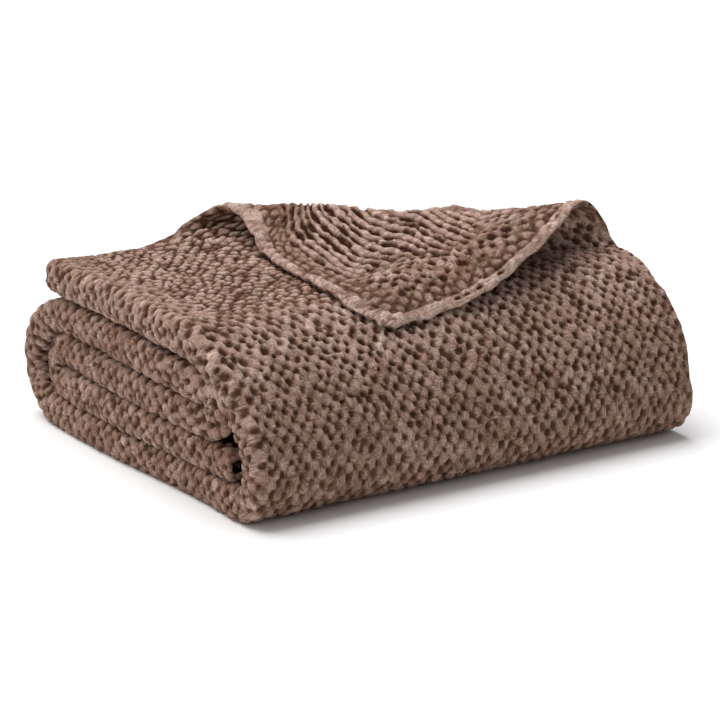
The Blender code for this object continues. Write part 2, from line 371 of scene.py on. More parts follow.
@dataclass
class Fold:
    """The folded blanket's middle surface, from flat places on the cloth to places in the room."""

    cloth: Cloth = Cloth()
    section: Section = Section()
    peel: Peel = Peel()
    passes: tuple[Pass, ...] = (
        Pass(0.3330, 0.0900, 0.1340, 0.1355, 0.1362),
        Pass(0.0150, 0.3120, 0.01365, 0.01365, 0.01365),
        Pass(0.2980, 0.0740, 0.1028, 0.1034, 0.1008),
        Pass(0.0740, 0.2990, 0.0712, 0.0730, 0.0735),
        Pass(0.2990, 0.0170, 0.0425, 0.0430, 0.0425),
    )
    turns: tuple[Turn, ...] = (Turn(0.0520, -1), Turn(0.0530, 1), Turn(0.0148, -1), Turn(0.0155, 1))
    humps: tuple[Hump, ...] = (
        Hump(-0.125, 0.330, 0.085, -0.0040),
        Hump(-0.060, 0.180, 0.100, 0.0025),
        Hump(0.215, 0.070, 0.110, -0.0030),
        Hump(0.060, 0.030, 0.090, 0.0020),
        Hump(0.240, 0.340, 0.140, -0.0070),
    )
    stack_height: float = 0.150
    end_waves: float = 0.0030
    near_wave: Triple = (19.0, 24.0, 0.0)
    far_wave: Triple = (15.0, -30.0, 1.0)
    far_tuck: float = 0.011
    tuck_height: float = 0.070
    tip_tuck: float = 0.009
    tip_y: Span = (0.240, 0.340)
    tip_z: Span = (0.105, 0.135)
    near_fullness: float = 0.026
    near_fullness_span: float = 0.045
    near_fullness_reach: Span = (0.0445, -0.0105)
    end_round: float = 0.016
    end_shut: float = 0.99
    end_reach: Span = (0.040, 0.015)
    peel_reach: float = 0.2
    slope_step: float = 0.003
    origin: Triple = (-0.00037332, 0.17269811, -0.00000117)

    def __post_init__(self) -> None:
        """Traces the section and the strip once."""
        self.flat, self.outline, self.folds = self.section.trace(self.cloth)
        self.half = self.section.width / 2
        pieces = []
        for k, leg in enumerate(self.passes):
            pieces.append(leg.trace())
            if k < len(self.turns):
                pieces.append(self.turns[k].trace(leg, self.passes[k + 1]))
        last = self.passes[-1]
        self.path = np.vstack([*pieces, np.array([[last.end_y, last.end_z]])])
        self.arc = np.concatenate(([0.0], np.cumsum(np.hypot(*np.diff(self.path, axis=0).T))))
        ends = np.cumsum([0] + [len(piece) for piece in pieces])
        self.breaks = [float(self.arc[k]) for k in ends]
        self.width = float(self.flat[-1])
        self.length = float(self.arc[-1])

    def along(self, v: Field) -> tuple[Field, Field, Field, Field]:
        """The strip's middle and its outward direction.

        Args:
            v: Lengths along the strip.

        Returns:
            The middle's y and z, and the outward normal's.
        """
        steps = (-self.slope_step, 0, self.slope_step)
        y = [np.interp(v + step, self.arc, self.path[:, 0]) for step in steps]
        z = [np.interp(v + step, self.arc, self.path[:, 1]) for step in steps]
        dy, dz = y[2] - y[0], z[2] - z[0]
        size = np.hypot(dy, dz) + 1e-12
        return y[1], z[1], dz / size, -dy / size

    def warp(self, x: Field, y: Field, z: Field) -> Field:
        """The stack's unevenness, as a smooth shift of space.

        Args:
            x: Places of the even stack along X.
            y: The same along Y.
            z: Their heights.

        Returns:
            The shifted points.
        """
        rise = np.zeros_like(x)
        for hump in self.humps:
            rise += hump.height * bell(np.hypot(x - hump.x, y - hump.y), hump.width)
        near = np.clip(-x / self.half, 0, None) ** 2
        far = np.clip(x / self.half, 0, None) ** 2
        waves = np.zeros_like(x)
        for end, (by_y, by_z, start) in ((near, self.near_wave), (far, self.far_wave)):
            waves += np.sin(by_y * y + by_z * z + start) * end
        tuck = self.far_tuck * far * bell(z, self.tuck_height)
        tip = ramped(y, self.tip_y) ** 2 * ramped(z, self.tip_z) * near
        depth = np.minimum(z / self.stack_height, 1.0)
        moved = x + self.end_waves * waves - tuck + self.tip_tuck * tip
        return np.stack((moved, y, z + rise * depth**2), axis=-1)

    def surface(self, u: Field, v: Field) -> Field:
        """Places of the cloth's middle face.

        Args:
            u: Flat places across the cloth, from the top layer's far hem.
            v: Flat places along it, from the back hem of the top pass.

        Returns:
            The points, one row of three for each place.
        """
        x = np.interp(u, self.flat, self.outline[:, 0])
        w = np.interp(u, self.flat, self.outline[:, 1])
        inward = x + self.half
        end = ramped(v, (self.length - self.end_round, self.length))
        shut = 1 - np.sqrt(1 - self.end_shut * end**2)
        w = w * (1 - shut * smooth(ramped(inward, self.end_reach)))
        peel = self.peel
        line = np.array([self.half - peel.start_x, peel.end_v])
        length = float(np.hypot(*line))
        along_x, along_v = line / length
        s = (x - peel.start_x) * along_x + v * along_v
        d = (x - peel.start_x) * along_v - v * along_x
        top = (w > 0.9 * self.section.top) & (v < self.breaks[1] + self.peel_reach)
        past, high, slide = peel.place(d, s, length, self.section.pitch)
        base_x = np.where(top, peel.start_x + (s + slide) * along_x + past * along_v, x)
        base_v = np.where(top, (s + slide) * along_v - past * along_x, v)
        y, z, ny, nz = self.along(np.maximum(base_v, 0))
        y = y + np.maximum(-base_v, 0)
        turn = (self.breaks[5] + self.breaks[6]) / 2
        full = bell(v - turn, self.near_fullness_span) * smooth(ramped(inward, self.near_fullness_reach))
        y = y - self.near_fullness * full
        lift = w + np.where(top, high, 0)
        return self.warp(base_x, y + ny * lift, z + nz * lift) - np.array(self.origin)


@dataclass(frozen=True)
class Nearness:
    """How far a place's nearest point and its border are, and two random numbers of that point."""

    first: Field
    border: Field
    size: Field
    kind: Field


@dataclass(frozen=True)
class Lattice:
    """Uneven points in rows along the weave, every other row shifted by half."""

    seed: int
    across: float
    along: float
    stretch: float = 1.0
    offset: float = 0.0
    jitter: float = 0.17
    row_jitter: float = 1.6
    table: int = 256

    def near(self, u: Field, v: Field) -> Nearness:
        """Measures from the nearest points.

        Args:
            u: Places across the cloth.
            v: Places along it.

        Returns:
            What was found at those places.
        """
        rng = np.random.default_rng(self.seed)
        shape = (self.table, self.table)
        move_u, move_v = rng.uniform(-self.jitter, self.jitter, (2, *shape))
        size, kind = rng.uniform(0.0, 1.0, (2, *shape))
        row = v / (self.along / 2)
        first, second = np.full((2, *u.shape), 1.0)
        own_size, own_kind = np.zeros_like(u), np.zeros_like(u)
        for dj in (-2, -1, 0, 1, 2):
            j = np.round(row).astype(int) + dj
            s = u / self.across - self.offset - 0.5 * (j % 2)
            for di in (-1, 0, 1):
                i = np.round(s).astype(int) + di
                k, m = i % self.table, j % self.table
                x = (s - i - move_u[k, m]) * self.across / self.stretch
                y = (row - j - self.row_jitter * move_v[k, m]) * self.along / 2
                far = np.hypot(x, y)
                closer = far < first
                own_size = np.where(closer, size[k, m], own_size)
                own_kind = np.where(closer, kind[k, m], own_kind)
                second = np.minimum(np.maximum(far, first), second)
                first = np.minimum(far, first)
        return Nearness(first, (second - first) / 2, own_size, own_kind)


@dataclass(frozen=True)
class WaffleWeave:
    """The relief of the waffle weave on both faces of the cloth, from about -1 in a pit to 1.2 on a knob."""

    across: float = 0.0126
    along: float = 0.0140
    drift: float = 0.0042
    drift_size: float = 0.070
    ripple: float = 0.0012
    ripple_size: float = 0.014
    pit: float = 0.0031
    pit_sizes: Span = (0.70, 1.30)
    pit_depths: Span = (1.25, 1.75)
    pit_ragged: float = 0.0011
    filled_pits: float = 0.05
    filling: float = 0.9
    filling_radius: float = 0.0021
    knob: float = 0.0060
    knob_heights: Span = (0.75, 1.20)
    knob_roundness: float = 0.42
    unevenness: float = 0.16
    groove: float = 0.0011
    groove_depths: Span = (0.064, 0.416)
    tight_pits: Span = (1.0, 0.80)
    tight_grooves: Span = (1.0, 1.9)
    puff: float = 0.0050
    puff_along: float = 0.01512
    puff_gap: float = 0.0003
    puff_rim: float = 0.0019
    puff_ragged: float = 0.0009
    puff_widths: Span = (-0.0006, 0.0006)
    puff_levels: Span = (-1.025, -0.675)
    puff_height: float = 1.75
    puff_roundness: float = 0.10
    cord: float = 0.0090
    cord_beads: float = 0.20
    cord_base: float = 0.10
    cord_groove: float = 0.0010
    cord_groove_depth: float = 0.55
    slot_sizes: Span = (0.00165, 0.00435)
    slot_rim: float = 0.0014
    slot_depth: float = 1.4
    hole_sizes: Span = (0.45, 1.40)
    hole_depth: float = 1.5
    cobble_heights: Span = (0.75, 1.25)
    cobble_roundness: float = 0.25
    cobble_gap: float = 0.0010
    cobble_gap_depth: float = 0.60
    ribbed_from: float = 0.085
    ribbed_drift: float = 0.045
    ribbed_fade: float = 0.030
    wander: float = 0.0011
    fine_across: float = 0.0130
    fine_along: float = 0.0160
    fine_rim: float = 0.0021
    fine_levels: Span = (-0.35, 1.15)

    def drifted(self, flat: Field, seed: int, u: Field, v: Field) -> Field:
        """Where the yarns run one way, as they wander a little over the cloth."""
        flat = flat + self.drift * Noise(seed, self.drift_size)(u, v)
        return flat + self.ripple * Noise(seed + 2, self.ripple_size)(u, v)

    def lattice(self, seed: int, jitter: float, offset: float = 0.0) -> Lattice:
        """A lattice with the weave's own pitch."""
        return Lattice(seed, self.across, self.along, offset=offset, jitter=jitter)

    def right(self, u: Field, v: Field, puffed: Field, tight: Field) -> Field:
        """The face with puffy knobs, shallow grooves between them and deep pits where four meet.

        Args:
            u: Places across the cloth.
            v: Places along it.
            puffed: Where the weave is drawn up into separate pads, from 0 to 1.
            tight: Where its pits are smaller and its grooves deeper, from 0 to 1.

        Returns:
            The relief.
        """
        s, t = self.drifted(u, 11, u, v), self.drifted(v, 12, u, v)
        cell = self.lattice(21, 0.21).near(s, t)
        knob = self.lattice(24, 0.13, 0.5).near(s, t)
        radius = self.pit * between(self.pit_sizes, cell.size) * between(self.tight_pits, tight)
        ragged = cell.first + self.pit_ragged * Noise(22, 0.0034)(u, v)
        filling = self.filling * (cell.kind > 1 - self.filled_pits) * bell(cell.first, self.filling_radius)
        pit = smooth((1.30 * radius - ragged) / (0.75 * radius)) - filling
        dome = between(self.knob_heights, knob.size) - self.knob_roundness * (knob.first / self.knob) ** 2
        groove = between(self.groove_depths, knob.kind) * bell(knob.border, self.groove)
        groove = groove * between(self.tight_grooves, tight)
        level = dome - groove - between(self.pit_depths, cell.kind) * pit
        level = level + self.unevenness * Noise(23, 0.0048)(u, v)
        puff = Lattice(25, self.across, self.puff_along, stretch=1.2, jitter=0.30).near(s, t)
        ragged = puff.border + self.puff_ragged * Noise(26, 0.0036)(u, v)
        ragged = ragged + between(self.puff_widths, puff.size)
        raised = smooth((ragged - self.puff_gap) / self.puff_rim)
        raised = raised - self.puff_roundness * (puff.first / self.puff) ** 2
        pads = 0.20 * level + self.puff_height * raised + between(self.puff_levels, puff.kind)
        return level * (1 - puffed) + pads * puffed

    def cords(self, s: Field, t: Field) -> Field:
        """Round cords that run across the cloth, knotted here and there, with slots between them.

        Args:
            s: Places across the yarns.
            t: Places along them.

        Returns:
            The relief.
        """
        row = t / self.cord
        r = np.abs(row - np.round(row)) * self.cord
        beads = self.cord_beads * np.cos(2 * math.pi * (s / self.across + 0.5 * np.round(row)))
        slots = Lattice(41, 1.7 * self.across, 2 * self.cord, stretch=3.4, offset=0.25, jitter=0.15)
        cell = slots.near(s, t + self.cord / 2)
        cut = smooth((between(self.slot_sizes, cell.size) - cell.first) / self.slot_rim)
        groove = self.cord_groove_depth * bell(self.cord / 2 - r, self.cord_groove)
        round_top = np.sqrt(1 - (r / (0.52 * self.cord)) ** 2)
        return self.cord_base + round_top + beads - groove - self.slot_depth * cut

    def cobbles(self, s: Field, t: Field) -> Field:
        """Flat pads with thin gaps between them and holes at their corners.

        Args:
            s: Places across the yarns.
            t: Places along them.

        Returns:
            The relief.
        """
        cell = self.lattice(42, 0.24).near(s, t)
        pad = self.lattice(47, 0.24, 0.5).near(s, t)
        radius = self.pit * between(self.hole_sizes, cell.size)
        hole = self.hole_depth * smooth((1.25 * radius - cell.first) / (0.70 * radius))
        gap = self.cobble_gap_depth * bell(pad.border, self.cobble_gap) * np.clip(1.5 * pad.kind - 0.3, 0, 1)
        dome = between(self.cobble_heights, pad.size) - self.cobble_roundness * (pad.first / self.knob) ** 2
        return dome - gap - hole

    def reverse(self, u: Field, v: Field, fine: Field) -> Field:
        """The other face: cords, cobbles towards the far hem, and small rows along every hem.

        Args:
            u: Places across the cloth.
            v: Places along it.
            fine: Where the small rows lie, from 0 to 1.

        Returns:
            The relief.
        """
        s, t = self.drifted(u, 11, u, v), self.drifted(v, 12, u, v)
        wander = self.wander * Noise(45, 0.0055)(u, v)
        past = u - self.ribbed_from + self.ribbed_drift * Noise(43, 0.060)(u, v)
        ribbed = smooth(0.5 + past / self.ribbed_fade)
        plain = self.cords(s, t + wander) * ribbed + self.cobbles(s + wander, t) * (1 - ribbed)
        cell = Lattice(46, self.fine_across, self.fine_along, stretch=1.7, jitter=0.2).near(s + wander, t)
        rows = between(self.fine_levels, smooth((cell.border + 0.0006 * (cell.size - 0.5)) / self.fine_rim))
        return plain * (1 - fine) + rows * fine + 0.15 * Noise(44, 0.0050)(u, v)


@dataclass(frozen=True)
class HemRelief:
    """The hem's swellings and creases, its stitches, and the holes along its inner side, which are darkened
    with painted shade.
    """

    bead: float = 0.0017
    segment: float = 0.0095
    segment_depth: float = 0.052
    crease: float = 0.0015
    side_crease: float = 0.5
    bulge: float = 0.0009
    hole: float = 0.0034
    hole_row: float = 0.0078
    hole_row_width: float = 0.0024
    hole_depth: float = 0.0026
    stitch: float = 0.0013
    stitch_row: float = 0.0005
    stitch_width: float = 0.0014

    def beads(self, u: Field, v: Field, edge: Field, top_end: float) -> Pair:
        """The swellings between the stitches, and the holes.

        Args:
            u: Places across the cloth.
            v: Places along it.
            edge: How far the nearest edge is.
            top_end: Where the top pass ends, and the holes with it.

        Returns:
            The height of the swellings in metres, and the holes from 0 to 1.
        """
        row = Lattice(66, self.segment, self.segment_depth, jitter=0.18)
        ends, sides = row.near(u, v), row.near(v, u)
        side = u < v
        crease = bell(np.where(side, sides.border, ends.border), self.crease)
        middle = np.where(side, sides.first, ends.first)
        uneven = 0.6 * Noise(63, 0.0085)(u, v) + 0.4 * Noise(64, 0.0040)(u, v)
        height = self.bead * (uneven - crease * np.where(side, self.side_crease, 1.0))
        across = bell(edge - self.hole_row, self.hole_row_width)
        return height, across * side * smooth(1.4 - middle / self.hole) * (v < top_end)

    def stitches(self, u: Field, v: Field, inner: Field, holes: Field) -> Field:
        """The depth of the seam, from the distance past the hem's inner side and the holes."""
        seam = self.stitch * bell(inner + self.stitch_row, self.stitch_width)
        return seam * smooth(0.45 + 1.6 * Noise(65, 0.0050)(u, v)) + self.hole_depth * holes


@dataclass
class BlanketCloth:
    """The cloth with its thickness, weave and hem: it turns flat places into the two outer faces."""

    fold: Fold
    weave: WaffleWeave = WaffleWeave()
    hem: HemRelief = HemRelief()
    base: float = 0.0023
    height: float = 0.0020
    lowest: float = 0.0003
    floor_gap: float = 0.0002
    deepest: float = -0.75
    deepest_reverse: float = -0.25
    lumps: float = 0.0009
    plump: float = 0.0009
    plump_reach: float = 0.020
    edge_pull: float = 0.0016
    edge_pull_reach: float = 0.02
    corner: float = 0.016
    crest: Span = (0.237, 0.052)
    crest_reach: float = 0.035
    crest_calm: float = 0.45
    hem_calm: float = 0.35
    top_calm: float = 0.30
    right_strength: float = 0.86
    upper_gain: float = 0.08
    lower_loss: float = 0.10
    reverse_strengths: Span = (0.70, 1.0)
    puffed: float = 0.85

    def edge(self, u: Field, v: Field) -> Field:
        """Distance from the nearest edge of the cloth."""
        fold = self.fold
        return np.minimum(np.minimum(u, fold.width - u), np.minimum(v, fold.length - v))

    def drawn_in(self, u: Field, v: Field) -> Pair:
        """Draws the cloth's edges in unevenly, as its hem pulls at them, and rounds its corners.

        Args:
            u: Places across the cloth.
            v: Places along it.

        Returns:
            The places from which the folded surface is taken.
        """
        half_u, half_v = self.fold.width / 2, self.fold.length / 2
        pull = self.edge_pull * (1 + Noise(71, 0.022)(u, v) + 0.8 * Noise(72, 0.0085)(u, v))
        edge_u = half_u - np.abs(half_u - u)
        edge_v = half_v - np.abs(half_v - v)
        x = np.clip(1 - edge_u / self.corner, 0, 1)
        y = np.clip(1 - edge_v / self.corner, 0, 1)
        in_u = self.corner * x * (1 - np.sqrt(1 - y * y / 2)) + pull * np.exp(-edge_u / self.edge_pull_reach)
        in_v = self.corner * y * (1 - np.sqrt(1 - x * x / 2)) + pull * np.exp(-edge_v / self.edge_pull_reach)
        return u + np.sign(half_u - u) * in_u, v + np.sign(half_v - v) * in_v

    def faces(self, u: Field, v: Field) -> dict[Face, Pair]:
        """The two faces of the cloth over a grid of flat places.

        Args:
            u: Places across the cloth, as a grid.
            v: Places along it, as a grid.

        Returns:
            For each face, its points and the tone at them, painted shade from 0 in a pit to painted
            highlight at 1 on a knob.
        """
        cloth, hem = self.fold.cloth, self.hem
        middle = self.fold.surface(*self.drawn_in(u, v))
        normal = np.cross(np.gradient(middle, axis=1), np.gradient(middle, axis=0))
        normal /= np.linalg.norm(normal, axis=-1, keepdims=True) + 1e-15
        edge = self.edge(u, v)
        round_off = np.sqrt(np.clip(1 - (1 - np.minimum(edge / cloth.edge_radius, 1)) ** 2, 0.0, 1.0))
        hemmed = 1 - smooth((edge - cloth.hem_width + 0.0015) / 0.004)
        lumps = self.lumps * (Noise(61, 0.034)(u, v) + 0.5 * Noise(62, 0.013)(u, v))
        nose = self.fold.folds["nose"]
        fuller = self.plump * bell(u - (nose + self.fold.folds["fourth"]) / 2, self.plump_reach)
        fuller = np.maximum(lumps, 0) + fuller
        past = v - self.fold.breaks[1]
        depth = 1.0 + 0.20 * Noise(51, 0.060)(u, v) + 0.12 * Noise(52, 0.024)(u, v)
        upper = bell(past - 0.045, 0.045)
        lower = smooth((past - 0.09) / 0.06) * (v < self.fold.breaks[2] + 0.02)
        strength = depth * (self.right_strength + self.upper_gain * upper - self.lower_loss * lower)
        # The weave is puffed up where it lies flat on top, and tighter round the front.
        reach = 0.030 - 0.14 * np.clip(nose - u - 0.13, 0, 1)
        flat_top = smooth((reach - past) / 0.05) * smooth((nose - u - 0.004) / 0.03)
        tight = smooth((past - 0.055 + 0.02 * Noise(53, 0.05)(u, v)) / 0.04)
        level = self.weave.right(u, v, self.puffed * flat_top, tight) * strength
        level = np.maximum(level * (1 - self.hem_calm * hemmed), self.deepest)
        # Painted shade and highlight: the tone is darker in the pits, grooves and slits between the puffed
        # pads and lighter on the knobs, with more contrast on the flat top and a little darker round the
        # front.
        tone = np.clip(0.5 + (0.38 + 0.15 * flat_top - 0.08 * tight) * level - 0.04 * tight, 0, 1)
        tone = 0.5 * tone + 0.5 * smooth(tone) + 0.10 * Noise(54, 0.0075)(u, v)
        woven = {Face.RIGHT: (self.base + self.height * level * (1 - self.top_calm * flat_top), tone)}
        beads, holes = hem.beads(u, v, edge, self.fold.breaks[1])
        stitch = hem.stitches(u, v, edge - cloth.hem_width, holes)
        bulge = hem.bulge * np.sin(math.pi * np.clip(edge / cloth.hem_width, 0, 1))
        hem_height = cloth.thickness / 2 * cloth.hem_gain + beads + bulge
        fine = 1 - smooth((edge - cloth.hem_width - 0.004) / 0.020)
        crest = bell(np.hypot(u - self.crest[0], v - self.crest[1]), self.crest_reach)
        strength = depth * between(self.reverse_strengths, smooth((edge - 0.012) / 0.045))
        level = self.weave.reverse(u, v, fine) * (strength * (1 - self.crest_calm * crest))
        height = self.base + self.height * np.maximum(level, self.deepest_reverse)
        # Painted shade and highlight: the tone is darker in the slots and holes and lighter on the cords;
        # the hem is painted light as a highlight, lighter on its swellings and darker in its creases, and
        # the seam and the holes along it get painted shade.
        tone = (0.30 + 0.58 * level) * (1 - hemmed) + hemmed * (1.0 + 200 * beads)
        height = hem_height * hemmed + height * (1 - hemmed) - stitch
        woven[Face.REVERSE] = (height, tone - 0.55 * stitch / hem.stitch)
        made = {}
        for face, (height, tone) in woven.items():
            height = (np.maximum(height, self.lowest) + fuller) * round_off
            points = middle + face.value * normal * height[..., None]
            points[..., 2] = np.maximum(points[..., 2], self.floor_gap)
            made[face] = (points, np.clip(tone, 0, 1))
        return made


def grid_quads(shape: tuple[int, int]) -> Field:
    """The four vertex numbers of each cell of a grid, as a grid of cells."""
    index = np.arange(shape[0] * shape[1]).reshape(shape)
    return np.stack((index[:-1, :-1], index[:-1, 1:], index[1:, 1:], index[1:, :-1]), axis=-1)


@dataclass(frozen=True)
class Zone:
    """A stretch of the cloth that is modelled as one piece.

    The face named shows all over the stretch, and the other one only within turn_in of the cloth's edge.
    """

    name: str
    across: Span
    along: Span
    face: Face = Face.RIGHT
    turn_in: float = 0.0
    step_u: int = 1
    step_v: int = 1


@dataclass
class ClothBuilder:
    """Makes the blanket's pieces from one shared grid of flat places, so that they meet."""

    cloth: BlanketCloth
    finish: Material
    cell: float = 0.0012
    rim: tuple[float, ...] = (0.0, 0.0003, 0.0009, 0.0018, 0.0030)
    rim_width: float = 0.0044

    def lines(self, size: float, span: Span, step: int) -> Field:
        """The grid lines of a span, every one or every few, always with its ends and the rim.

        Args:
            size: The cloth's width or length.
            span: From where to where.
            step: How many lines to go on each time.

        Returns:
            The lines' places.
        """
        rim = np.array(self.rim)
        count = round((size - 2 * self.rim_width) / self.cell)
        inside = np.linspace(self.rim_width, size - self.rim_width, count)
        lines = np.concatenate((rim, inside, size - rim[::-1]))
        first, last = (int(np.argmin(np.abs(lines - end))) for end in span)
        at_rim = {k for k in range(first, last + 1) if k < len(rim) or k >= len(lines) - len(rim)}
        return lines[sorted(set(range(first, last + 1, step)) | {last} | at_rim)]

    def build(self, zone: Zone) -> Object:
        """Makes the piece of one zone.

        Args:
            zone: The stretch of cloth.

        Returns:
            The new object.
        """
        u, v = np.meshgrid(
            self.lines(self.cloth.fold.width, zone.across, zone.step_u),
            self.lines(self.cloth.fold.length, zone.along, zone.step_v),
        )
        made = self.cloth.faces(u, v)
        middle_u = (u[:-1, :-1] + u[1:, 1:]) / 2
        middle_v = (v[:-1, :-1] + v[1:, 1:]) / 2
        near_edge = self.cloth.edge(middle_u, middle_v) < zone.turn_in
        count = u.size
        index = np.arange(count).reshape(u.shape)
        cells = grid_quads(u.shape)
        quads, points, tones, places = [], [], [], []
        # Where the cloth ends, its two faces share their vertices.
        shared = np.concatenate((np.arange(count), np.where(self.cloth.edge(u, v).ravel() < 1e-9, 0, count)))
        shared[count:] += np.arange(count)
        shown = np.ones_like(near_edge)
        for layer, (face, mask) in enumerate(((zone.face, shown), (Face(-zone.face.value), near_edge))):
            if not mask.any():
                continue
            corners = cells[mask]
            if face is Face.RIGHT:
                corners = corners[:, ::-1]
            quads.append(shared[corners + layer * count])
            points.append(made[face][0].reshape(-1, 3))
            tones.append(made[face][1].ravel())
            places.append(np.column_stack((u.ravel(), v.ravel(), np.full(count, float(face.value)))))
        if near_edge.all():
            rim = np.concatenate((index[0], index[1:, -1], index[-1, -2::-1], index[-2::-1, 0]))
            wall = np.column_stack((rim[:-1], rim[1:], shared[count + rim[1:]], shared[count + rim[:-1]]))
            wall = wall[(wall[:, 0] != wall[:, 3]) & (wall[:, 1] != wall[:, 2])]
            quads.append(wall if zone.face is Face.RIGHT else wall[:, ::-1])
        arrays = np.vstack(points), np.vstack(quads), np.concatenate(tones), np.vstack(places)
        return make_mesh(zone.name, *arrays, self.finish)


def make_mesh(name: str, points: Field, quads: Field, tone: Field, place: Field, finish: Material) -> Object:
    """Makes a smooth mesh object from arrays, with the tone and the flat places as attributes.

    Args:
        name: The object's name.
        points: The vertices.
        quads: Four vertex numbers for each face.
        tone: The tone at each vertex, with its painted shade and highlight.
        place: The flat place and the face, at each vertex.
        finish: The material.

    Returns:
        The new object, linked to the scene.
    """
    used, index = np.unique(quads, return_inverse=True)
    quads = index.reshape(quads.shape)
    points, tone, place = points[used], tone[used], place[used]
    mesh = bpy.data.meshes.new(name)
    mesh.vertices.add(len(points))
    mesh.vertices.foreach_set("co", points.astype(np.float32).ravel())
    mesh.loops.add(quads.size)
    mesh.loops.foreach_set("vertex_index", quads.astype(np.int32).ravel())
    mesh.polygons.add(len(quads))
    mesh.polygons.foreach_set("loop_start", np.arange(0, quads.size, 4, dtype=np.int32))
    mesh.update(calc_edges=True)
    mesh.validate()
    # The relief attribute carries the tone, which paints shade in the pits and highlights on the knobs and
    # the hem.
    mesh.attributes.new("relief", "FLOAT", "POINT").data.foreach_set("value", tone.astype(np.float32))
    flat = mesh.attributes.new("flat_place", "FLOAT_VECTOR", "POINT")
    flat.data.foreach_set("vector", place.astype(np.float32).ravel())
    mesh.shade_smooth()
    mesh.materials.append(finish)
    made = bpy.data.objects.new(name, mesh)
    bpy.context.scene.collection.objects.link(made)
    return made


@dataclass
class Shader:
    """The nodes of a new material, with short ways to add and feed them."""

    name: str

    def __post_init__(self) -> None:
        """Starts the material."""
        self.material = bpy.data.materials.new(self.name)
        self.material.use_nodes = True

    def feed(self, node: Node, **values: object) -> Node:
        """Gives a node its values.

        Args:
            node: The node.
            **values: Its settings, in lower case, and a constant or a source for each socket.

        Returns:
            The same node.
        """
        for name, value in values.items():
            if name.islower():
                setattr(node, name, value)
            elif isinstance(value, Socket):
                self.material.node_tree.links.new(value, node.inputs[name.replace("_", " ")])
            else:
                node.inputs[name.replace("_", " ")].default_value = value
        return node

    def add(self, kind: str, **values: object) -> Node:
        """Adds a node of a kind, with its values."""
        return self.feed(self.material.node_tree.nodes.new("ShaderNode" + kind), **values)

    def finish(self, **values: object) -> Material:
        """Gives the surface its values, which ends the material."""
        self.feed(self.material.node_tree.nodes["Principled BSDF"], **values)
        return self.material

    def stretch(self, source: Socket, low: Span, high: Span = (0.0, 1.0)) -> Socket:
        """Adds a node that stretches one range of values to another."""
        ends = {"From_Min": low[0], "From_Max": low[1], "To_Min": high[0], "To_Max": high[1]}
        return self.add("MapRange", Value=source, **ends).outputs["Result"]

    def mix(self, blend: str, share: float | Socket, first: Socket, second: Socket | tuple) -> Socket:
        """Adds a node that mixes two colours, the second of which may be a constant."""
        node = self.add("Mix", data_type="RGBA", blend_type=blend, Factor=share, A=first, B=second)
        return node.outputs["Result"]


